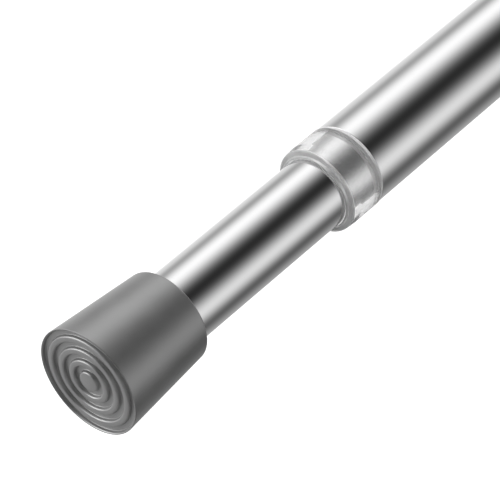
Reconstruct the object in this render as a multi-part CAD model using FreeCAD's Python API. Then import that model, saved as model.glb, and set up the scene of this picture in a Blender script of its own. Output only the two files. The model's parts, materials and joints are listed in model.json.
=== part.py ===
import FreeCAD, Part
import math
import os

# Spring tension rod: two telescoping tubes with rubber feet, a twist lock and a push spring inside.
# X runs along the rod, from the wall face of the fixed foot at the origin to that of the moving foot.
# Lengths are in millimetres. Radii are measured from the rod's axis.

# Tubes
inner_tube_diameter = 13.0
inner_tube_wall = 0.45
inner_tube_length = 289.5
bare_length = 37.3                # of the inner tube, between the collar and the moving foot
outer_tube_wall = 0.5
outer_tube_length = 365.8

# Clearances, on the radius or along the rod
seat_clearance = 0.02             # between pieces that are pressed or glued together
running_clearance = 0.05          # of a shaft in its bearing
slide_clearance = 0.1             # of a piece that slides along another
face_gap = 0.05                   # between faces that bear on each other
end_gap = 0.2                     # left between pieces that stop each other at the end of a travel
rest_gap = 0.1                    # between the bush and the spring washer that it rests on

# Clear collar in the outer tube's mouth
collar_guide_wall = 0.83          # between the two tubes
collar_guide_length = 10.0
collar_head_length = 7.85         # of the thick ring in front of the outer tube's mouth
collar_head_step = 0.1            # by which it is wider than the outer tube
collar_head_bevel = 0.1
collar_nose_length = 1.9          # of the head's front part, which narrows a little
collar_nose_fall = 0.15
collar_nose_bevel = 0.25
collar_lip_length = 0.55
collar_lip_wall = 0.4

# Rubber feet and the plugs under them
foot_length = 19.0
foot_end_thickness = 4.0
foot_neck_wall = 1.9
foot_face_wall = 3.35
foot_neck_bevel = 0.4
foot_edge_bevel = 0.15
ring_count = 4
ring_first_radius = 2.4
ring_last_margin = 0.85           # from the last ring to the edge of the face
ring_width = 1.1
ring_depth = 0.4
plug_flange_thickness = 1.5
plug_length = 10.0
plug_wall = 1.6

# Twist lock: rod, split sleeve and cone nut
rod_thread_radius = 2.9
rod_journal_step = 0.1            # from the thread up to the journal
rod_flange_width = 2.0            # of the flange beyond the journal
rod_flange_thickness = 2.0
rod_shank_radius = 3.5
rod_shank_flat = 2.6              # from the axis to each of the shank's two flats
rod_end_length = 1.0              # of thread beyond the stop nut
sleeve_clearance = 0.15
sleeve_length = 22.0
sleeve_head_thickness = 5.0
sleeve_finger_wall = 2.7
sleeve_mouth_wall = 1.3
sleeve_taper_length = 8.0
slit_count = 4
slit_width = 1.6
slit_length = 15.0
friction_ring_width = 1.6
friction_ring_depth = 1.5
friction_ring_bevel = 0.4
cone_length = 8.0
cone_head_thickness = 1.6
cone_travel = 3.0                 # from slack to tight
cone_key_clearance = 0.1
cone_key_inset = 0.4              # from the sleeve's outside to the keys' crown
thrust_washer_thickness = 1.0
thrust_washer_width = 2.2
clip_thickness = 0.8
clip_groove_depth = 0.6
clip_width = 1.4
clip_gap = 2.4
stop_nut_across_flats = 8.0
stop_nut_thickness = 4.0
stop_pin_radius = 0.6

# Push spring and what carries it
push_travel = 20.0
bush_flange_thickness = 4.0
bush_length = 12.0
spring_wire_radius = 0.5
spring_side_clearance = 0.6
spring_set_length = 30.0
spring_active_turns = 4           # whole turns, as are the closed ones, so that the stretches join
spring_closed_turns = 1
spring_wire_sides = 6
spring_washer_thickness = 1.5
rod_end_radius = 2.0              # of the rod's end in the spring washer
rod_head_crown = 0.9              # by which its peened head is wider
rod_head_height = 1.2
seat_body_length = 10.0
seat_spigot_length = 5.0
seat_spigot_clearance = 0.3
seat_bore_radius = 1.8
seat_pin_radius = 1.0
seat_pin_inset = 0.1              # of the pin's ends below the inner tube's surface

# Radii that follow
inner_radius = inner_tube_diameter / 2
inner_bore = inner_radius - inner_tube_wall
guide_bore = inner_radius + slide_clearance
outer_bore = guide_bore + collar_guide_wall + seat_clearance
outer_radius = outer_bore + outer_tube_wall
journal_radius = rod_thread_radius + rod_journal_step
flange_radius = journal_radius + rod_flange_width
sleeve_radius = outer_bore - sleeve_clearance
finger_bore = sleeve_radius - sleeve_finger_wall
mouth_bore = sleeve_radius - sleeve_mouth_wall
taper_slope = (mouth_bore - finger_bore) / sleeve_taper_length
cone_small_radius = finger_bore + taper_slope * cone_travel / 2
friction_ring_outside = outer_bore - seat_clearance
friction_ring_inside = friction_ring_outside - friction_ring_depth
clip_groove_radius = journal_radius - clip_groove_depth
spring_mean_radius = inner_bore - spring_side_clearance - spring_wire_radius
spring_washer_radius = inner_bore - slide_clearance

# Places along the rod that follow
outer_tube_start = foot_end_thickness + plug_flange_thickness
outer_tube_end = outer_tube_start + outer_tube_length
collar_front = outer_tube_end + collar_head_length + collar_lip_length
moving_foot_neck = collar_front + bare_length
rod_length = moving_foot_neck + foot_length
inner_tube_end = rod_length - foot_end_thickness - plug_flange_thickness
inner_tube_start = inner_tube_end - inner_tube_length
bush_start = inner_tube_start - bush_flange_thickness
bush_end = inner_tube_start + bush_length
rod_flange_end = bush_start - push_travel - end_gap
rod_flange_start = rod_flange_end - rod_flange_thickness
washer_start = rod_flange_start - face_gap - thrust_washer_thickness
sleeve_end = washer_start - face_gap
sleeve_start = sleeve_end - sleeve_length
sleeve_head_start = sleeve_end - sleeve_head_thickness
friction_ring_place = (sleeve_head_start + sleeve_end) / 2
clip_start = sleeve_head_start - face_gap - clip_thickness
journal_start = clip_start - clip_thickness
cone_contact = sleeve_start + (mouth_bore - cone_small_radius - running_clearance) / taper_slope
cone_end = cone_contact - cone_travel
cone_start = cone_end - cone_length
stop_nut_end = cone_start - cone_head_thickness - end_gap
stop_nut_start = stop_nut_end - stop_nut_thickness
rod_start = stop_nut_start - rod_end_length
spring_washer_start = bush_end + rest_gap
spring_start = spring_washer_start + spring_washer_thickness + face_gap
spring_end = spring_start + spring_set_length
seat_start = spring_end + face_gap
seat_end = seat_start + seat_body_length
seat_pin_place = (seat_start + seat_end) / 2

ALONG = FreeCAD.Vector(1, 0, 0)
CENTRE = FreeCAD.Vector(0, 0, 0)
HEXAGON_SIDES = 6


def bar(start, end, radius):
    """A round bar on the rod's axis."""
    return Part.makeCylinder(radius, end - start, FreeCAD.Vector(start, 0, 0), ALONG)


def pipe(start, end, radius, bore):
    """A round tube on the rod's axis."""
    return bar(start, end, radius).cut(bar(start, end, bore))


def turned(outline):
    """Turns a closed outline of (x, radius) points about the rod's axis."""
    corners = [FreeCAD.Vector(x, radius, 0) for x, radius in outline + outline[:1]]
    return Part.Face(Part.makePolygon(corners)).revolve(CENTRE, ALONG, 360)


def slab(start, end, width, height):
    """A square bar centred on the rod's axis: width along Y, height along Z."""
    return Part.makeBox(end - start, width, height, FreeCAD.Vector(start, -width / 2, -height / 2))


def spread(piece, count):
    """Copies of a piece, evenly turned about the rod's axis."""
    copies = []
    for number in range(count):
        copy = piece.copy()
        copy.rotate(CENTRE, ALONG, 360 * number / count)
        copies.append(copy)
    return copies


def cross_pin(place, radius, half_length):
    """A round pin along Z, through the rod's axis."""
    return Part.makeCylinder(radius, 2 * half_length, FreeCAD.Vector(place, 0, -half_length))


def double_flat(start, end, radius, flat):
    """A round bar with two opposite flats."""
    return bar(start, end, radius).common(slab(start, end, 2 * radius, 2 * flat))


def make_outer_tube():
    return pipe(outer_tube_start, outer_tube_end, outer_radius, outer_bore)


def make_inner_tube():
    """The slimmer tube, drilled across for the pin of the spring's seat."""
    tube = pipe(inner_tube_start, inner_tube_end, inner_radius, inner_bore)
    return tube.cut(cross_pin(seat_pin_place, seat_pin_radius + seat_clearance, inner_tube_diameter))


def make_collar():
    """The clear end ring: a guide inside the outer tube, a thick head in front of its mouth and a thin lip."""
    guide_radius = outer_bore - seat_clearance
    guide_start = outer_tube_end - collar_guide_length
    head_radius = outer_radius + collar_head_step
    head_start = outer_tube_end + face_gap
    head_end = outer_tube_end + collar_head_length
    nose_radius = head_radius - collar_nose_fall
    lip_radius = guide_bore + collar_lip_wall
    return turned([
        (guide_start, guide_bore),
        (guide_start, guide_radius),
        (head_start, guide_radius),
        (head_start, head_radius - collar_head_bevel),
        (head_start + collar_head_bevel, head_radius),
        (head_end - collar_nose_length, head_radius),
        (head_end - collar_nose_bevel, nose_radius),
        (head_end, nose_radius - collar_nose_bevel),
        (head_end, lip_radius),
        (collar_front, lip_radius),
        (collar_front, guide_bore),
    ])


def make_foot(wall_x, inward, tube_radius):
    """A rubber cap, with rings cut in its end face. inward is the direction along X from the wall into the rod."""
    bore = tube_radius + seat_clearance
    neck_radius = tube_radius + foot_neck_wall
    face_radius = tube_radius + foot_face_wall
    ring_pitch = (face_radius - ring_last_margin - ring_first_radius) / (ring_count - 1)
    # Distance from the wall and radius, from the centre of the face outwards
    outline = [(0, 0)]
    for number in range(ring_count):
        ring_inside = ring_first_radius + number * ring_pitch - ring_width / 2
        ring_outside = ring_inside + ring_width
        outline += [(0, ring_inside), (ring_depth, ring_inside), (ring_depth, ring_outside), (0, ring_outside)]
    outline += [
        (0, face_radius - foot_edge_bevel),
        (foot_edge_bevel, face_radius),
        (foot_length - foot_neck_bevel, neck_radius),
        (foot_length, neck_radius - foot_neck_bevel),
        (foot_length, bore),
        (foot_end_thickness, bore),
        (foot_end_thickness, 0),
    ]
    return turned([(wall_x + inward * distance, radius) for distance, radius in outline])


def make_foot_plug(tube_end, inward, tube_radius, tube_bore):
    """A hollow plug whose flange covers the tube's end under the rubber."""
    flange_face = tube_end - inward * (plug_flange_thickness - face_gap)
    flange_back = tube_end - inward * face_gap
    plug_end = tube_end + inward * plug_length
    spigot = tube_bore - seat_clearance
    return turned([
        (flange_face, 0),
        (flange_face, tube_radius),
        (flange_back, tube_radius),
        (flange_back, spigot),
        (plug_end, spigot),
        (plug_end, spigot - plug_wall),
        (tube_end, spigot - plug_wall),
        (tube_end, 0),
    ])


def make_lock_sleeve():
    """The split sleeve that grips the outer tube when the cone is drawn into its mouth."""
    sleeve = turned([
        (sleeve_start, mouth_bore),
        (sleeve_start, sleeve_radius),
        (sleeve_end, sleeve_radius),
        (sleeve_end, journal_radius + running_clearance),
        (sleeve_head_start, journal_radius + running_clearance),
        (sleeve_head_start, finger_bore),
        (sleeve_start + sleeve_taper_length, finger_bore),
    ])
    slit = Part.makeBox(slit_length, slit_width, 2 * outer_bore,
                        FreeCAD.Vector(sleeve_start, -slit_width / 2, 0))
    ring_groove = pipe(friction_ring_place - friction_ring_width / 2 - seat_clearance,
                       friction_ring_place + friction_ring_width / 2 + seat_clearance,
                       outer_bore, friction_ring_inside - seat_clearance)
    return sleeve.cut(Part.makeCompound(spread(slit, slit_count))).cut(ring_groove)


def make_friction_ring():
    """A rubber ring round the sleeve's head, which keeps the sleeve from turning with the rod."""
    half_width = friction_ring_width / 2
    return turned([
        (friction_ring_place - half_width, friction_ring_inside),
        (friction_ring_place - half_width, friction_ring_outside - friction_ring_bevel),
        (friction_ring_place, friction_ring_outside),
        (friction_ring_place + half_width, friction_ring_outside - friction_ring_bevel),
        (friction_ring_place + half_width, friction_ring_inside),
    ])


def make_cone_nut():
    """The nut that travels along the thread. Its keys run in the sleeve's slits, so it can't turn."""
    key_radius = sleeve_radius - cone_key_inset
    key_width = slit_width - 2 * cone_key_clearance
    large_radius = cone_small_radius + taper_slope * cone_length
    head_start = cone_start - cone_head_thickness
    body = turned([
        (head_start, 0),
        (head_start, key_radius),
        (cone_start, key_radius),
        (cone_start, large_radius),
        (cone_end, cone_small_radius),
        (cone_end, 0),
    ])
    key = Part.makeBox(cone_length, key_width, key_radius, FreeCAD.Vector(cone_start, -key_width / 2, 0))
    keys = Part.makeCompound(spread(key, slit_count)).common(bar(cone_start, cone_end, key_radius))
    return body.fuse(keys).removeSplitter().cut(bar(head_start, cone_end, rod_thread_radius + running_clearance))


def make_lock_rod():
    """The screw: thread, journal and flange, then a flatted shank that ends in the spring washer's head."""
    thread = bar(rod_start, journal_start, rod_thread_radius)
    journal = bar(journal_start, rod_flange_start, journal_radius)
    clip_groove = pipe(clip_start - seat_clearance, clip_start + clip_thickness + seat_clearance,
                       flange_radius, clip_groove_radius)
    flange = bar(rod_flange_start, rod_flange_end, flange_radius)
    shank = double_flat(rod_flange_end, spring_washer_start, rod_shank_radius, rod_shank_flat)
    head_start = spring_washer_start + spring_washer_thickness + seat_clearance
    washer_seat = bar(spring_washer_start, head_start, rod_end_radius)
    head = bar(head_start, head_start + rod_head_height, rod_end_radius + rod_head_crown)
    body = thread.fuse([journal, flange, shank, washer_seat, head]).removeSplitter()
    stop_hole = cross_pin((stop_nut_start + stop_nut_end) / 2, stop_pin_radius + seat_clearance, outer_bore)
    return body.cut(clip_groove).cut(stop_hole)


def make_thrust_washer():
    return pipe(washer_start, washer_start + thrust_washer_thickness,
                journal_radius + thrust_washer_width, journal_radius + running_clearance)


def make_retaining_clip():
    """The open ring in the rod's groove that holds the sleeve on its journal."""
    ring = pipe(clip_start, clip_start + clip_thickness,
                clip_groove_radius + clip_width, clip_groove_radius + seat_clearance)
    opening = Part.makeBox(clip_thickness, clip_gap, outer_bore, FreeCAD.Vector(clip_start, -clip_gap / 2, 0))
    return ring.cut(opening)


def make_stop_nut():
    """A hexagon nut pinned to the rod's end. It backs the slack cone."""
    half_side_angle = math.pi / HEXAGON_SIDES
    corner_radius = stop_nut_across_flats / 2 / math.cos(half_side_angle)
    corners = []
    for number in range(HEXAGON_SIDES + 1):
        angle = 2 * half_side_angle * number
        corners.append(FreeCAD.Vector(stop_nut_start, corner_radius * math.cos(angle), corner_radius * math.sin(angle)))
    nut = Part.Face(Part.makePolygon(corners)).extrude(ALONG * stop_nut_thickness)
    bore = bar(stop_nut_start, stop_nut_end, rod_thread_radius + seat_clearance)
    stop_hole = cross_pin((stop_nut_start + stop_nut_end) / 2, stop_pin_radius + seat_clearance, outer_bore)
    return nut.cut(bore).cut(stop_hole)


def make_stop_pin():
    return cross_pin((stop_nut_start + stop_nut_end) / 2, stop_pin_radius, stop_nut_across_flats / 2)


def make_end_bush():
    """The guide in the inner tube's inner end. Its flange rides in the outer tube, and its flatted hole
    lets the rod's shank slide but not turn."""
    bush_flange = bar(bush_start, inner_tube_start - face_gap, outer_bore - slide_clearance)
    spigot = bar(inner_tube_start - face_gap, bush_end, inner_bore - seat_clearance)
    hole = double_flat(bush_start, bush_end, rod_shank_radius + running_clearance, rod_shank_flat + running_clearance)
    return bush_flange.fuse(spigot).cut(hole)


def make_spring_washer():
    return pipe(spring_washer_start, spring_washer_start + spring_washer_thickness,
                spring_washer_radius, rod_end_radius + seat_clearance)


def coil(start, pitch, turns):
    """A stretch of the spring, from a wire section in the plane through the rod's axis."""
    path = Part.makeHelix(pitch, pitch * turns, spring_mean_radius)
    corners = []
    for number in range(spring_wire_sides + 1):
        angle = 2 * math.pi * (number + 0.5) / spring_wire_sides
        corners.append(FreeCAD.Vector(spring_mean_radius + spring_wire_radius * math.cos(angle), 0,
                                      spring_wire_radius * math.sin(angle)))
    stretch = Part.Wire(path.Edges).makePipeShell([Part.makePolygon(corners)], True, True)
    stretch.rotate(CENTRE, FreeCAD.Vector(0, 1, 0), 90)
    stretch.translate(ALONG * start)
    return stretch


def make_spring():
    """A helical push spring with closed, ground ends."""
    closed_pitch = 2 * spring_wire_radius + seat_clearance
    closed_length = closed_pitch * spring_closed_turns
    active_length = spring_set_length - 2 * closed_length
    first = coil(spring_start, closed_pitch, spring_closed_turns)
    active = coil(spring_start + closed_length, active_length / spring_active_turns, spring_active_turns)
    last = coil(spring_end - closed_length, closed_pitch, spring_closed_turns)
    return first.fuse([active, last]).common(bar(spring_start, spring_end, inner_bore))


def make_spring_seat():
    """The plug that the spring pushes on, pinned across the inner tube."""
    spigot_radius = spring_mean_radius - spring_wire_radius - seat_spigot_clearance
    body = bar(seat_start, seat_end, inner_bore - seat_clearance)
    spigot = bar(seat_start - seat_spigot_length, seat_start, spigot_radius)
    hole = cross_pin(seat_pin_place, seat_pin_radius + seat_clearance, inner_bore)
    bore = bar(seat_start - seat_spigot_length, seat_end, seat_bore_radius)
    return body.fuse(spigot).cut(hole).cut(bore)


def make_seat_pin():
    return cross_pin(seat_pin_place, seat_pin_radius, inner_radius - seat_pin_inset)


pieces = {
    "outer_tube": make_outer_tube(),
    "tube_collar": make_collar(),
    "outer_foot": make_foot(0, 1, outer_radius),
    "outer_foot_plug": make_foot_plug(outer_tube_start, 1, outer_radius, outer_bore),
    "lock_sleeve": make_lock_sleeve(),
    "friction_ring": make_friction_ring(),
    "cone_nut": make_cone_nut(),
    "lock_rod": make_lock_rod(),
    "thrust_washer": make_thrust_washer(),
    "retaining_clip": make_retaining_clip(),
    "stop_nut": make_stop_nut(),
    "stop_pin": make_stop_pin(),
    "spring_washer": make_spring_washer(),
    "inner_tube": make_inner_tube(),
    "end_bush": make_end_bush(),
    "spring": make_spring(),
    "spring_seat": make_spring_seat(),
    "seat_pin": make_seat_pin(),
    "inner_foot": make_foot(rod_length, -1, inner_radius),
    "inner_foot_plug": make_foot_plug(inner_tube_end, -1, inner_radius, inner_bore),
}

os.makedirs("parts", exist_ok=True)
for name, shape in pieces.items():
    shape.exportStep("parts/" + name + ".step")
    print(name, "solids", len(shape.Solids), "volume", round(shape.Volume, 2), "valid", shape.isValid())
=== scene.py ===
import bmesh
import bpy
import json
import math
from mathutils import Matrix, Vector


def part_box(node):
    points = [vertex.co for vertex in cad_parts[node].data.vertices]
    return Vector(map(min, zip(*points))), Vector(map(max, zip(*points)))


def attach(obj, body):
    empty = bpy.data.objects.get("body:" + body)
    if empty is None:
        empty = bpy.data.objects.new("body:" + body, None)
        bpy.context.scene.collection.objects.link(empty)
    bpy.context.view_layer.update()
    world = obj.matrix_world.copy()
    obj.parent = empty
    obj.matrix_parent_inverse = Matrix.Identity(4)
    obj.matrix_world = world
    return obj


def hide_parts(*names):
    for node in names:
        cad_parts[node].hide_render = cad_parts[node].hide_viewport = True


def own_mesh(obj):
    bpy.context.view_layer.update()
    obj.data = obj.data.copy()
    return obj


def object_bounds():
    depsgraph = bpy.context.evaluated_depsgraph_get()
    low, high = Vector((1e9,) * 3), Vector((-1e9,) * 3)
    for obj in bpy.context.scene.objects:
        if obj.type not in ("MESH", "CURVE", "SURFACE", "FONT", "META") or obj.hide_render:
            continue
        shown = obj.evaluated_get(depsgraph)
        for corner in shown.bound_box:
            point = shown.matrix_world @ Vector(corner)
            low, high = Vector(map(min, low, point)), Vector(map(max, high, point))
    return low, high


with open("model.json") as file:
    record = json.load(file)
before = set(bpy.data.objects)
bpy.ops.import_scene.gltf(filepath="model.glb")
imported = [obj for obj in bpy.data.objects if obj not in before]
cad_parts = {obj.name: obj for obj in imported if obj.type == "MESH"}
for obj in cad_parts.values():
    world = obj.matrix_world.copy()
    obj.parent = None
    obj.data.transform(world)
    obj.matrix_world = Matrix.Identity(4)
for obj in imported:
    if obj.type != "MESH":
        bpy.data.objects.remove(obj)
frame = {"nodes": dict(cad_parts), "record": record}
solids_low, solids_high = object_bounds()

# Spring tension rod. X runs along the rod, from the fixed foot's wall face to the moving foot's.
# Lengths are in millimetres and become metres where a mesh is made. Radii are from the rod's axis.
MM = 0.001

# Camera, as fitted to the photograph: its direction, its angle of view, and where the moving foot's
# wall face lies in the picture, from the middle of it
VIEW_AZIMUTH = 129.37
VIEW_ELEVATION = 43.34
VIEW_ANGLE = 10.14
FACE_RIGHT = -25.08
FACE_UP = -20.50
FACE_AHEAD = 436.2
NEAREST_SEEN = 10

# Facets
TURN_STEPS = 192                  # round a turned piece
CORNER_STEPS = 6                  # round a corner of an outline
WIRE_STEPS = 16                   # round the spring's wire
COIL_STEPS = 64                   # along one of its turns
THREAD_STEPS = 96                 # round the screw, and round a hole drilled for a pin
THREAD_STEP_LENGTH = 0.125        # along its thread

# Tubes
TUBE_OUTER_ROUNDING = 0.15
TUBE_INNER_ROUNDING = 0.08
PRESS_CLEARANCE = 0.02            # of a pin in its hole, and of a piece pushed over or into a tube
RUNNING_CLEARANCE = 0.05          # of the thrust washer on its journal and against the flange

# Clear collar
COLLAR_GUIDE_ROUNDING = 0.2
COLLAR_BACK_ROUNDING = 0.12       # of the head's edge at the outer tube's mouth
COLLAR_NOSE_LENGTH = 1.9          # of the head's front part, which narrows a little
COLLAR_NOSE_FALL = 0.15
COLLAR_NOSE_ROUNDING = 0.28
COLLAR_SHOULDER_ROUNDING = 1.0
COLLAR_LIP_LENGTH = 0.55
COLLAR_LIP_WALL = 0.4
COLLAR_LIP_ROUNDING = 0.19
COLLAR_LIP_FILLET = 0.08
COLLAR_FROST_LENGTH = 0.6         # of the head's back end, which is frosted as the guide is
COLLAR_CLOUD_LENGTH = 0.35        # of the nose's front end, which is a little cloudy, as the lip is

# Rubber feet
RING_COUNT = 4
RING_FIRST_RADIUS = 2.4
RING_LAST_MARGIN = 0.85
RING_WIDTH = 1.15
RING_FLOOR_WIDTH = 0.9
RING_DEPTH = 0.6
RING_LIP_ROUNDING = 0.3
RING_FLOOR_ROUNDING = 0.1
EDGE_ROUNDING = 0.14
NECK_ROUNDING = 0.5
FOOT_END_THICKNESS = 4.0
FOOT_BORE_ROUNDING = 0.15
NECK_REACH = 1                    # from the foot's open end, within which its neck is measured

# Screw of the twist lock
THREAD_PITCH = 2.0
THREAD_DEPTH = 0.8
THREAD_CREST = 0.12               # of the pitch, at each side of the crest, without depth
THREAD_RUNOUT = 1.2
THREAD_START = 0.4                # of its full depth, at the screw's end
THREAD_LEAST_RADIUS = 1           # within which a corner of the solid isn't on the thread
CLIP_GROOVE_RADIUS = 2.4
FLANGE_THICKNESS = 2.0
FLANGE_ROUNDING = 0.2
SHANK_RADIUS = 3.5
SHANK_FLAT = 2.6
ROD_END_RADIUS = 2.0
ROD_HEAD_RADIUS = 2.9
ROD_HEAD_ROUNDING = 0.5

# Friction ring
FRICTION_RING_CROWN = 0.55
FRICTION_RING_EDGE = 0.15

# Push spring
WIRE_RADIUS = 0.5
CLOSED_TURNS = 1
CLOSED_PITCH = 1.02
ACTIVE_TURNS = 4

# Strip lights parallel to the rod, as its chrome reflects them: the angle about the rod from +Y towards
# +Z, the half-width at half brightness, both in degrees, and the brightness
STRIPS = (
    (126, 27, 1.1),
    (-1, 24, 0.77),
    (-100, 35, 0.35),
    (-138, 18, 0.77),
    (-171, 17, 0.59),
)
STUDIO_DARK = 0.02
INSIDE_WHITE = 0.9                # of the background's white, for light that turned round in clear plastic
ONE_WALL_DEPTH = 3                # the transmission depth that light reaches beyond a single clear wall

# Soft boxes in front, which only what faces along the rod reflects: direction, half-width and brightness
FRONT_BOXES = (
    ((0.65, -0.73, 0.21), 20, 3.5),
    ((0.6, 0.3, -0.74), 18, 0.4),
)
FRONT_FALL = 0.62                 # of the strips' brightness, from beside the rod to straight ahead of it

# Overhead lamp, its sizes and place in metres
LAMP_WIDTH = 1.6
LAMP_DEPTH = 1.0
LAMP_POWER = 9
LAMP_PLACE = (0.2, -0.3, 1.0)
LAMP_TILT = -17

# Floor
FLOOR_BELOW = 250
FLOOR_REACH = 3000
FLOOR_GREY = 0.55
FLOOR_GLOW = 0.7
FLOOR_ROUGHNESS = 0.9

# Noise in the finishes: its detail, and the range that most of its values lie in
NOISE_DETAIL = 4
NOISE_LOW = 0.3
NOISE_HIGH = 0.7

# Sockets of a Mix node that mixes colours
MIX_FACTOR = 0
MIX_FIRST = 6
MIX_SECOND = 7
MIX_RESULT = 2


def circles(node):
    """The (x, radius) of each corner of a CAD node."""
    corners = frame["nodes"][node].data.vertices
    return [(corner.co.x / MM, math.hypot(corner.co.y, corner.co.z) / MM) for corner in corners]


def ends(node):
    """Where a CAD node starts and ends along the rod."""
    low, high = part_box(node)
    return low.x / MM, high.x / MM


def radii(node):
    """The smallest and largest radius of a CAD node."""
    found = [radius for x, radius in circles(node)]
    return min(found), max(found)


def rounded(corners, closed):
    """An outline from (x, radius, rounding) corners: each corner becomes an arc of its rounding."""
    outline = []
    count = len(corners)
    for place, (x, radius, rounding) in enumerate(corners):
        corner = Vector((x, radius))
        at_end = not closed and place in (0, count - 1)
        if at_end or rounding == 0:
            outline.append((x, radius))
            continue
        back = (Vector(corners[place - 1][:2]) - corner).normalized()
        ahead = (Vector(corners[(place + 1) % count][:2]) - corner).normalized()
        half_angle = back.angle(ahead) / 2
        centre = corner + (back + ahead).normalized() * (rounding / math.sin(half_angle))
        first = corner + back * (rounding / math.tan(half_angle)) - centre
        last = corner + ahead * (rounding / math.tan(half_angle)) - centre
        for step in range(CORNER_STEPS + 1):
            share = step / CORNER_STEPS
            point = centre + first.slerp(last, share) * rounding
            outline.append((point.x, point.y))
    return outline


def new_object(name, mesh):
    """An object with smooth faces."""
    data = bpy.data.meshes.new(name)
    bmesh.ops.recalc_face_normals(mesh, faces=mesh.faces)
    for face in mesh.faces:
        face.smooth = True
    mesh.to_mesh(data)
    mesh.free()
    made = bpy.data.objects.new(name, data)
    bpy.context.scene.collection.objects.link(made)
    return made


def turned(name, outline, closed, steps=TURN_STEPS, shape=None):
    """Turns an outline of (x, radius) points about the rod's axis. Where a piece isn't round, shape gives
    the radius from the place along the rod, the outline's radius and the angle."""
    mesh = bmesh.new()
    rings = []
    for x, radius in outline:
        ring = []
        for step in range(steps if radius > 0 else 1):
            angle = 2 * math.pi * step / steps
            reach = shape(x, radius, angle) if shape else radius
            place = Vector((x, reach * math.cos(angle), reach * math.sin(angle)))
            ring.append(mesh.verts.new(place * MM))
        rings.append(ring)
    pairs = list(zip(rings, rings[1:]))
    if closed:
        pairs.append((rings[-1], rings[0]))
    for first, second in pairs:
        for step in range(steps):
            after = step + 1
            corners = [
                first[step % len(first)],
                first[after % len(first)],
                second[after % len(second)],
                second[step % len(second)],
            ]
            mesh.faces.new(list(dict.fromkeys(corners)))
    return new_object(name, mesh)


def drilled(piece, pin_node):
    """Drills a piece across, for a pin along Z."""
    low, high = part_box(pin_node)
    middle = (low + high) / 2
    radius = (high.x - low.x) / 2 + PRESS_CLEARANCE * MM
    mesh = bmesh.new()
    bmesh.ops.create_cone(
        mesh, cap_ends=True, segments=THREAD_STEPS, radius1=radius, radius2=radius,
        depth=2 * (high.z - low.z),
    )
    bmesh.ops.translate(mesh, vec=middle, verts=mesh.verts)
    drill = new_object("drill", mesh)
    cut = piece.modifiers.new("hole", "BOOLEAN")
    cut.operation = "DIFFERENCE"
    cut.solver = "EXACT"
    cut.object = drill
    evaluated = piece.evaluated_get(bpy.context.evaluated_depsgraph_get())
    piece.data = bpy.data.meshes.new_from_object(evaluated)
    piece.modifiers.clear()
    bpy.data.objects.remove(drill)
    return piece


def stands_for(piece, body, slot, *nodes):
    """Gives a piece its body, its finish and the CAD nodes that it replaces. Its shading favours the
    larger face at each corner."""
    piece.modifiers.new("even shading", "WEIGHTED_NORMAL")
    piece.data.materials.clear()
    piece.data.materials.append(MATERIALS[slot])
    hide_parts(*nodes)
    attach(piece, body)


def number(tree, operation, *values):
    """The output of a Math node whose inputs are numbers or other outputs."""
    node = tree.nodes.new("ShaderNodeMath")
    node.operation = operation
    for socket, value in zip(node.inputs, values):
        if isinstance(value, bpy.types.NodeSocket):
            tree.links.new(value, socket)
        else:
            socket.default_value = value
    return node.outputs[0]


def noise(tree, size, stretch):
    """The factor of a noise texture. size is that of its features, and stretch makes them longer along the
    rod."""
    place = tree.nodes.new("ShaderNodeTexCoord")
    scale = tree.nodes.new("ShaderNodeMapping")
    scale.inputs["Scale"].default_value = (1 / stretch, 1, 1)
    texture = tree.nodes.new("ShaderNodeTexNoise")
    texture.inputs["Scale"].default_value = 1 / (size * MM)
    texture.inputs["Detail"].default_value = NOISE_DETAIL
    tree.links.new(place.outputs["Object"], scale.inputs["Vector"])
    tree.links.new(scale.outputs["Vector"], texture.inputs["Vector"])
    return texture.outputs["Fac"]


def spread(tree, value, low, high):
    """A noise texture's factor, mapped to a range."""
    node = tree.nodes.new("ShaderNodeMapRange")
    node.inputs["From Min"].default_value = NOISE_LOW
    node.inputs["From Max"].default_value = NOISE_HIGH
    node.inputs["To Min"].default_value = low
    node.inputs["To Max"].default_value = high
    tree.links.new(value, node.inputs["Value"])
    return node.outputs["Result"]


def finish(name, dark, light, smooth, rough, cloud_size, grain_size, relief, stretch=1, **plain):
    """A finish whose colour and roughness vary in clouds, over a grain with a relief, all in millimetres.
    stretch makes both longer along the rod, and plain values go on the shader's own sockets."""
    material = bpy.data.materials.new(name)
    material.use_nodes = True
    tree = material.node_tree
    inputs = tree.nodes["Principled BSDF"].inputs
    for socket, value in plain.items():
        inputs[socket.replace("_", " ")].default_value = value
    cloud = noise(tree, cloud_size, stretch)
    colour = tree.nodes.new("ShaderNodeMix")
    colour.data_type = "RGBA"
    colour.inputs[MIX_FIRST].default_value = (*dark, 1)
    colour.inputs[MIX_SECOND].default_value = (*light, 1)
    tree.links.new(spread(tree, cloud, 0, 1), colour.inputs[MIX_FACTOR])
    tree.links.new(colour.outputs[MIX_RESULT], inputs["Base Color"])
    tree.links.new(spread(tree, cloud, smooth, rough), inputs["Roughness"])
    bump = tree.nodes.new("ShaderNodeBump")
    bump.inputs["Distance"].default_value = relief * MM
    tree.links.new(noise(tree, grain_size, stretch), bump.inputs["Height"])
    tree.links.new(bump.outputs["Normal"], inputs["Normal"])
    return material


def see_through(name, smooth, rough, transmission):
    """A finish of the collar's plastic, with a soft ripple of moulding."""
    return finish(
        name, dark=(0.98, 0.98, 0.98), light=(1, 1, 1), smooth=smooth, rough=rough,
        cloud_size=1.6, grain_size=1.6, relief=0.003, stretch=2,
        Transmission_Weight=transmission, IOR=1.49, Specular_IOR_Level=0.3)


def tube(name, node):
    """A tube with softly broken edges."""
    bore, radius = radii(node)
    start, end = ends(node)
    corners = [
        (start, bore, TUBE_INNER_ROUNDING),
        (start, radius, TUBE_OUTER_ROUNDING),
        (end, radius, TUBE_OUTER_ROUNDING),
        (end, bore, TUBE_INNER_ROUNDING),
    ]
    return turned(name, rounded(corners, True), True)


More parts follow.
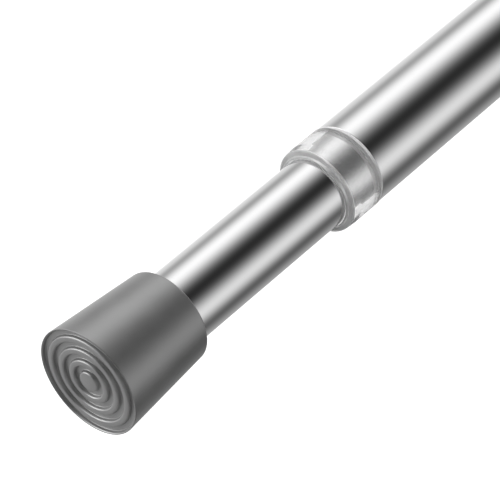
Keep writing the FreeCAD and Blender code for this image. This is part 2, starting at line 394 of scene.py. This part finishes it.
def collar():
    """The clear end ring: a guide inside the outer tube, a thick head before its mouth and a thin lip. Its
    back end is frosted and its front end cloudy."""
    guide_bore, head_radius = radii("tube_collar")
    guide_radius = radii("outer_tube")[0] - PRESS_CLEARANCE
    guide_start, front = ends("tube_collar")
    guide_limit = guide_radius + PRESS_CLEARANCE
    head_start = min(x for x, radius in circles("tube_collar") if radius > guide_limit)
    nose_front = front - COLLAR_LIP_LENGTH
    lip_radius = guide_bore + COLLAR_LIP_WALL
    frost_end = head_start + COLLAR_FROST_LENGTH
    cloud_start = nose_front - COLLAR_CLOUD_LENGTH
    cloud_radius = head_radius - COLLAR_NOSE_FALL * (1 - COLLAR_CLOUD_LENGTH / COLLAR_NOSE_LENGTH)
    corners = [
        (guide_start, guide_bore, COLLAR_GUIDE_ROUNDING),
        (guide_start, guide_radius, COLLAR_GUIDE_ROUNDING),
        (head_start, guide_radius, 0),
        (head_start, head_radius, COLLAR_BACK_ROUNDING),
        (frost_end, head_radius, 0),
        (nose_front - COLLAR_NOSE_LENGTH, head_radius, COLLAR_SHOULDER_ROUNDING),
        (cloud_start, cloud_radius, 0),
        (nose_front, head_radius - COLLAR_NOSE_FALL, COLLAR_NOSE_ROUNDING),
        (nose_front, lip_radius, COLLAR_LIP_FILLET),
        (front, lip_radius, COLLAR_LIP_ROUNDING),
        (front, guide_bore, COLLAR_LIP_ROUNDING),
        (frost_end, guide_bore, 0),
    ]
    piece = turned("collar_clear", rounded(corners, True), True)
    stands_for(piece, "outer", "clear_plastic", "tube_collar")
    finishes = ["clear_plastic", "frosted_plastic", "cloudy_plastic"]
    for further in finishes[1:]:
        piece.data.materials.append(MATERIALS[further])
    for face in piece.data.polygons:
        if face.center.x < frost_end * MM:
            face.material_index = finishes.index("frosted_plastic")
        elif face.center.x > cloud_start * MM:
            face.material_index = finishes.index("cloudy_plastic")


def foot(name, node, tube_node, body, wall_x, inward):
    """A rubber foot. inward is the direction along X from the wall into the rod."""
    face_radius = radii(node)[1]
    start, end = ends(node)
    length = end - start
    neck_x = wall_x + inward * length
    neck_radius = max(radius for x, radius in circles(node) if abs(x - neck_x) < NECK_REACH)
    bore = radii(tube_node)[1] + PRESS_CLEARANCE
    pitch = (face_radius - RING_LAST_MARGIN - RING_FIRST_RADIUS) / (RING_COUNT - 1)
    corners = [(0, 0, 0)]
    for ring in range(RING_COUNT):
        middle = RING_FIRST_RADIUS + ring * pitch
        corners += [
            (0, middle - RING_WIDTH / 2, RING_LIP_ROUNDING),
            (RING_DEPTH, middle - RING_FLOOR_WIDTH / 2, RING_FLOOR_ROUNDING),
            (RING_DEPTH, middle + RING_FLOOR_WIDTH / 2, RING_FLOOR_ROUNDING),
            (0, middle + RING_WIDTH / 2, RING_LIP_ROUNDING),
        ]
    corners += [
        (0, face_radius, EDGE_ROUNDING),
        (length, neck_radius, NECK_ROUNDING),
        (length, bore, FOOT_BORE_ROUNDING),
        (FOOT_END_THICKNESS, bore, 0),
        (FOOT_END_THICKNESS, 0, 0),
    ]
    outline = [(wall_x + inward * distance, radius) for distance, radius in rounded(corners, False)]
    stands_for(turned(name, outline, False), body, "grey_rubber", node)


def screw():
    """The lock's screw: a right-handed thread, a journal with the clip's groove, a flange, then a flatted
    shank that ends in a peened head."""
    rod_start, rod_end = ends("lock_rod")
    clip_start, clip_end = ends("retaining_clip")
    washer_end = ends("thrust_washer")[1]
    cap_start, cap_end = ends("spring_washer")
    at_start = [radius for x, radius in circles("lock_rod") if x < rod_start + THREAD_PITCH]
    crest_radius = min(radius for radius in at_start if radius > THREAD_LEAST_RADIUS)
    journal_radius = radii("thrust_washer")[0] - RUNNING_CLEARANCE
    flange_radius = radii("lock_rod")[1]
    thread_end = clip_start - (clip_end - clip_start)
    flange_start = washer_end + RUNNING_CLEARANCE
    flange_end = flange_start + FLANGE_THICKNESS
    head_start = cap_end + PRESS_CLEARANCE
    count = round((thread_end - rod_start) / THREAD_STEP_LENGTH)
    corners = [(rod_start, 0, 0)]
    for step in range(count + 1):
        corners.append((rod_start + (thread_end - rod_start) * step / count, crest_radius, 0))
    corners += [
        (thread_end, journal_radius, 0),
        (clip_start - PRESS_CLEARANCE, journal_radius, 0),
        (clip_start - PRESS_CLEARANCE, CLIP_GROOVE_RADIUS, 0),
        (clip_end + PRESS_CLEARANCE, CLIP_GROOVE_RADIUS, 0),
        (clip_end + PRESS_CLEARANCE, journal_radius, 0),
        (flange_start, journal_radius, 0),
        (flange_start, flange_radius, FLANGE_ROUNDING),
        (flange_end, flange_radius, FLANGE_ROUNDING),
        (flange_end, SHANK_RADIUS, 0),
        (cap_start, SHANK_RADIUS, 0),
        (cap_start, ROD_END_RADIUS, 0),
        (head_start, ROD_END_RADIUS, 0),
        (head_start, ROD_HEAD_RADIUS, 0),
        (rod_end, ROD_HEAD_RADIUS, ROD_HEAD_ROUNDING),
        (rod_end, 0, 0),
    ]

    def shape(x, radius, angle):
        if x <= thread_end and radius == crest_radius:
            phase = (x / THREAD_PITCH - angle / (2 * math.pi)) % 1
            from_crest = min(phase, 1 - phase) * 2
            share = max(0, from_crest - THREAD_CREST) / (1 - THREAD_CREST)
            fade_in = (x - rod_start) / THREAD_RUNOUT + THREAD_START
            fade_out = (thread_end - x) / THREAD_RUNOUT
            return radius - THREAD_DEPTH * min(1, fade_in, fade_out) * share
        if x > flange_end - FLANGE_ROUNDING and radius == SHANK_RADIUS:
            return min(radius, SHANK_FLAT / max(abs(math.sin(angle)), SHANK_FLAT / SHANK_RADIUS))
        return radius

    piece = turned("lock_screw", rounded(corners, False), False, THREAD_STEPS, shape)
    stands_for(drilled(piece, "stop_pin"), "screw", "zinc_steel", "lock_rod")


def friction_ring():
    """The rubber ring round the lock's sleeve, with a round crown."""
    inside, outside = radii("friction_ring")
    start, end = ends("friction_ring")
    corners = [
        (start, inside, FRICTION_RING_EDGE),
        (start, outside, FRICTION_RING_CROWN),
        (end, outside, FRICTION_RING_CROWN),
        (end, inside, FRICTION_RING_EDGE),
    ]
    piece = turned("friction_ring_round", rounded(corners, True), True)
    stands_for(piece, "lock", "black_rubber", "friction_ring")


def spring():
    """The push spring, of round wire, with closed and ground ends."""
    start, end = ends("spring")
    mean_radius = radii("spring")[1] - WIRE_RADIUS
    active_pitch = (end - start - 2 * CLOSED_TURNS * CLOSED_PITCH) / ACTIVE_TURNS
    closed_end = (CLOSED_PITCH, CLOSED_TURNS)
    centres = []
    x = start
    for pitch, turns in (closed_end, (active_pitch, ACTIVE_TURNS), closed_end):
        for step in range(turns * COIL_STEPS):
            centres.append(x)
            x += pitch / COIL_STEPS
    centres.append(end)
    mesh = bmesh.new()
    rings = []
    for count, x in enumerate(centres):
        angle = 2 * math.pi * count / COIL_STEPS - math.pi / 2
        outward = Vector((0, math.cos(angle), math.sin(angle)))
        ring = []
        for step in range(WIRE_STEPS):
            turn = 2 * math.pi * step / WIRE_STEPS
            place = Vector((x, 0, 0)) + outward * (mean_radius + WIRE_RADIUS * math.cos(turn))
            place.x = min(max(place.x + WIRE_RADIUS * math.sin(turn), start), end)
            ring.append(mesh.verts.new(place * MM))
        rings.append(ring)
    for first, second in zip(rings, rings[1:]):
        for step in range(WIRE_STEPS):
            after = (step + 1) % WIRE_STEPS
            mesh.faces.new((first[step], first[after], second[after], second[step]))
    mesh.faces.new(rings[0])
    mesh.faces.new(rings[-1])
    piece = new_object("push_spring", mesh)
    stands_for(piece, "inner", "spring_steel", "spring")
    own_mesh(piece)


def first_seen(tree):
    """1 for a ray from the camera, also through something clear, and 0 once it has been reflected."""
    rays = tree.nodes.new("ShaderNodeLightPath").outputs
    seen = number(tree, "MAXIMUM", rays["Is Camera Ray"], rays["Is Transmission Ray"])
    return number(tree, "MULTIPLY", seen, number(tree, "LESS_THAN", rays["Glossy Depth"], 1))


def from_plastic(tree):
    """1 for a ray that went through a single wall of clear plastic, or was in it and then scattered."""
    rays = tree.nodes.new("ShaderNodeLightPath").outputs
    entered = number(tree, "GREATER_THAN", rays["Transmission Depth"], 0)
    one_wall = number(tree, "LESS_THAN", rays["Transmission Depth"], ONE_WALL_DEPTH)
    scattered = number(tree, "GREATER_THAN", rays["Diffuse Depth"], 0)
    return number(tree, "MULTIPLY", entered, number(tree, "MAXIMUM", one_wall, scattered))


def lobe(tree, direction, towards, half_width):
    """1 where a unit direction points towards another, and 0.5 at half_width from it, in degrees."""
    facing = tree.nodes.new("ShaderNodeVectorMath")
    facing.operation = "DOT_PRODUCT"
    facing.inputs[1].default_value = Vector(towards).normalized()
    tree.links.new(direction, facing.inputs[0])
    sharpness = math.log(0.5) / math.log(math.cos(math.radians(half_width)))
    return number(tree, "POWER", number(tree, "MAXIMUM", facing.outputs["Value"], 0), sharpness)


def studio():
    """The world: white behind the object, and strip lights parallel to the rod in all that it reflects."""
    world = bpy.data.worlds.new("studio")
    bpy.context.scene.world = world
    world.use_nodes = True
    tree = world.node_tree
    tree.nodes.clear()
    direction = tree.nodes.new("ShaderNodeTexCoord").outputs["Generated"]
    across = tree.nodes.new("ShaderNodeVectorMath")
    across.operation = "MULTIPLY"
    across.inputs[1].default_value = (0, 1, 1)
    tree.links.new(direction, across.inputs[0])
    unit = tree.nodes.new("ShaderNodeVectorMath")
    unit.operation = "NORMALIZE"
    tree.links.new(across.outputs[0], unit.inputs[0])
    light = STUDIO_DARK
    for place, half_width, strength in STRIPS:
        towards = (0, math.cos(math.radians(place)), math.sin(math.radians(place)))
        strip = lobe(tree, unit.outputs[0], towards, half_width)
        light = number(tree, "MULTIPLY_ADD", strip, strength, light)
    ahead = tree.nodes.new("ShaderNodeSeparateXYZ")
    tree.links.new(direction, ahead.inputs[0])
    left = number(tree, "MULTIPLY_ADD", number(tree, "MAXIMUM", ahead.outputs["X"], 0), -FRONT_FALL, 1)
    light = number(tree, "MULTIPLY", light, left)
    for towards, half_width, strength in FRONT_BOXES:
        box = lobe(tree, direction, towards, half_width)
        light = number(tree, "MULTIPLY_ADD", box, strength, light)
    strips = tree.nodes.new("ShaderNodeBackground")
    tree.links.new(light, strips.inputs["Color"])
    white = tree.nodes.new("ShaderNodeBackground")
    white.inputs["Color"].default_value = (1, 1, 1, 1)
    choice = tree.nodes.new("ShaderNodeMixShader")
    pale = number(tree, "MULTIPLY", from_plastic(tree), INSIDE_WHITE)
    tree.links.new(number(tree, "MAXIMUM", first_seen(tree), pale), choice.inputs[0])
    tree.links.new(strips.outputs[0], choice.inputs[1])
    tree.links.new(white.outputs[0], choice.inputs[2])
    output = tree.nodes.new("ShaderNodeOutputWorld")
    tree.links.new(choice.outputs[0], output.inputs["Surface"])


def lamp():
    """A large soft lamp overhead, for the surfaces that don't mirror the strips."""
    data = bpy.data.lights.new("overhead", "AREA")
    data.shape = "RECTANGLE"
    data.size = LAMP_WIDTH
    data.size_y = LAMP_DEPTH
    data.energy = LAMP_POWER
    made = bpy.data.objects.new("overhead", data)
    made.location = LAMP_PLACE
    made.rotation_euler = (math.radians(LAMP_TILT), 0, 0)
    made.visible_glossy = False
    made.visible_transmission = False
    bpy.context.scene.collection.objects.link(made)


def floor():
    """A pale floor, white as the background, which keeps the object's shadow. From below it isn't seen."""
    mesh = bmesh.new()
    middle = (solids_low + solids_high) / 2
    level = solids_low.z - FLOOR_BELOW * MM
    reach = FLOOR_REACH * MM
    corners = [(-1, -1), (1, -1), (1, 1), (-1, 1)]
    places = [(middle.x + x * reach, middle.y + y * reach, level) for x, y in corners]
    mesh.faces.new([mesh.verts.new(place) for place in places])
    made = new_object("floor", mesh)
    material = bpy.data.materials.new("floor")
    material.use_nodes = True
    tree = material.node_tree
    shader = tree.nodes["Principled BSDF"]
    shader.inputs["Base Color"].default_value = (FLOOR_GREY, FLOOR_GREY, FLOOR_GREY, 1)
    shader.inputs["Roughness"].default_value = FLOOR_ROUGHNESS
    shader.inputs["Emission Color"].default_value = (1, 1, 1, 1)
    glow = number(tree, "MULTIPLY", first_seen(tree), FLOOR_GLOW)
    tree.links.new(glow, shader.inputs["Emission Strength"])
    clear = tree.nodes.new("ShaderNodeBsdfTransparent")
    choice = tree.nodes.new("ShaderNodeMixShader")
    backfacing = tree.nodes.new("ShaderNodeNewGeometry").outputs["Backfacing"]
    reflected = tree.nodes.new("ShaderNodeLightPath").outputs["Glossy Depth"]
    tree.links.new(number(tree, "MAXIMUM", backfacing, reflected), choice.inputs[0])
    tree.links.new(shader.outputs[0], choice.inputs[1])
    tree.links.new(clear.outputs[0], choice.inputs[2])
    tree.links.new(choice.outputs[0], tree.nodes["Material Output"].inputs["Surface"])
    made.data.materials.append(material)


def camera():
    """The photograph's view."""
    data = bpy.data.cameras.new("camera")
    data.angle = math.radians(VIEW_ANGLE)
    data.clip_start = NEAREST_SEEN * MM
    made = bpy.data.objects.new("camera", data)
    bpy.context.scene.collection.objects.link(made)
    azimuth = math.radians(VIEW_AZIMUTH)
    elevation = math.radians(VIEW_ELEVATION)
    back = Vector((
        math.sin(azimuth) * math.cos(elevation),
        -math.cos(azimuth) * math.cos(elevation),
        math.sin(elevation),
    ))
    made.rotation_mode = "QUATERNION"
    made.rotation_quaternion = back.to_track_quat("Z", "Y")
    right = made.rotation_quaternion @ Vector((1, 0, 0))
    up = made.rotation_quaternion @ Vector((0, 1, 0))
    face = Vector((ends("inner_foot")[1], 0, 0))
    made.location = (face - right * FACE_RIGHT - up * FACE_UP + back * FACE_AHEAD) * MM
    bpy.context.scene.camera = made


MATERIALS = {
    # Polished plate, with faint polishing lines along the tube
    "chrome_tube": finish(
        "chrome", dark=(0.86, 0.86, 0.865), light=(0.9, 0.9, 0.9), smooth=0.035, rough=0.06,
        cloud_size=9, grain_size=0.35, relief=0.00006, stretch=60, Metallic=1),
    # The collar's middle, which is only slightly hazy, its back end and its front end
    "clear_plastic": see_through("clear plastic", smooth=0.03, rough=0.06, transmission=0.95),
    "frosted_plastic": see_through("frosted plastic", smooth=0.53, rough=0.56, transmission=0.4),
    "cloudy_plastic": see_through("cloudy plastic", smooth=0.3, rough=0.33, transmission=0.7),
    # Rubbers with a fine grain, the grey one satin
    "grey_rubber": finish(
        "grey rubber", dark=(0.33, 0.33, 0.33), light=(0.36, 0.36, 0.36), smooth=0.3, rough=0.36,
        cloud_size=5, grain_size=0.12, relief=0.003, Metallic=0.75),
    "black_rubber": finish(
        "black rubber", dark=(0.02, 0.02, 0.02), light=(0.035, 0.035, 0.035), smooth=0.45, rough=0.6,
        cloud_size=2, grain_size=0.12, relief=0.003),
    # Spark-eroded skins of moulded plastic
    "white_plastic": finish(
        "white plastic", dark=(0.76, 0.76, 0.74), light=(0.82, 0.82, 0.8), smooth=0.4, rough=0.55,
        cloud_size=2, grain_size=0.2, relief=0.006),
    "black_plastic": finish(
        "black plastic", dark=(0.03, 0.03, 0.03), light=(0.045, 0.045, 0.045), smooth=0.4, rough=0.55,
        cloud_size=2, grain_size=0.2, relief=0.006),
    # Mottled plating, and wire with drawn lines
    "zinc_steel": finish(
        "zinc steel", dark=(0.55, 0.56, 0.58), light=(0.66, 0.67, 0.68), smooth=0.22, rough=0.38,
        cloud_size=0.5, grain_size=0.3, relief=0.002, Metallic=1),
    "spring_steel": finish(
        "spring steel", dark=(0.38, 0.38, 0.39), light=(0.5, 0.5, 0.51), smooth=0.22, rough=0.38,
        cloud_size=0.5, grain_size=0.3, relief=0.002, stretch=12, Metallic=1),
}

for subpart in frame["record"]["subparts"]:
    for place in frame["nodes"][subpart["node"]].material_slots:
        place.material = MATERIALS[subpart["material_slot"]]

stands_for(tube("outer_tube_skin", "outer_tube"), "outer", "chrome_tube", "outer_tube")
stands_for(drilled(tube("inner_tube_skin", "inner_tube"), "seat_pin"), "inner", "chrome_tube", "inner_tube")
collar()
foot("outer_foot_ringed", "outer_foot", "outer_tube", "outer", ends("outer_foot")[0], 1)
foot("inner_foot_ringed", "inner_foot", "inner_tube", "inner", ends("inner_foot")[1], -1)
screw()
friction_ring()
spring()
studio()
lamp()
floor()
camera()

bpy.context.scene.view_settings.view_transform = "Standard"
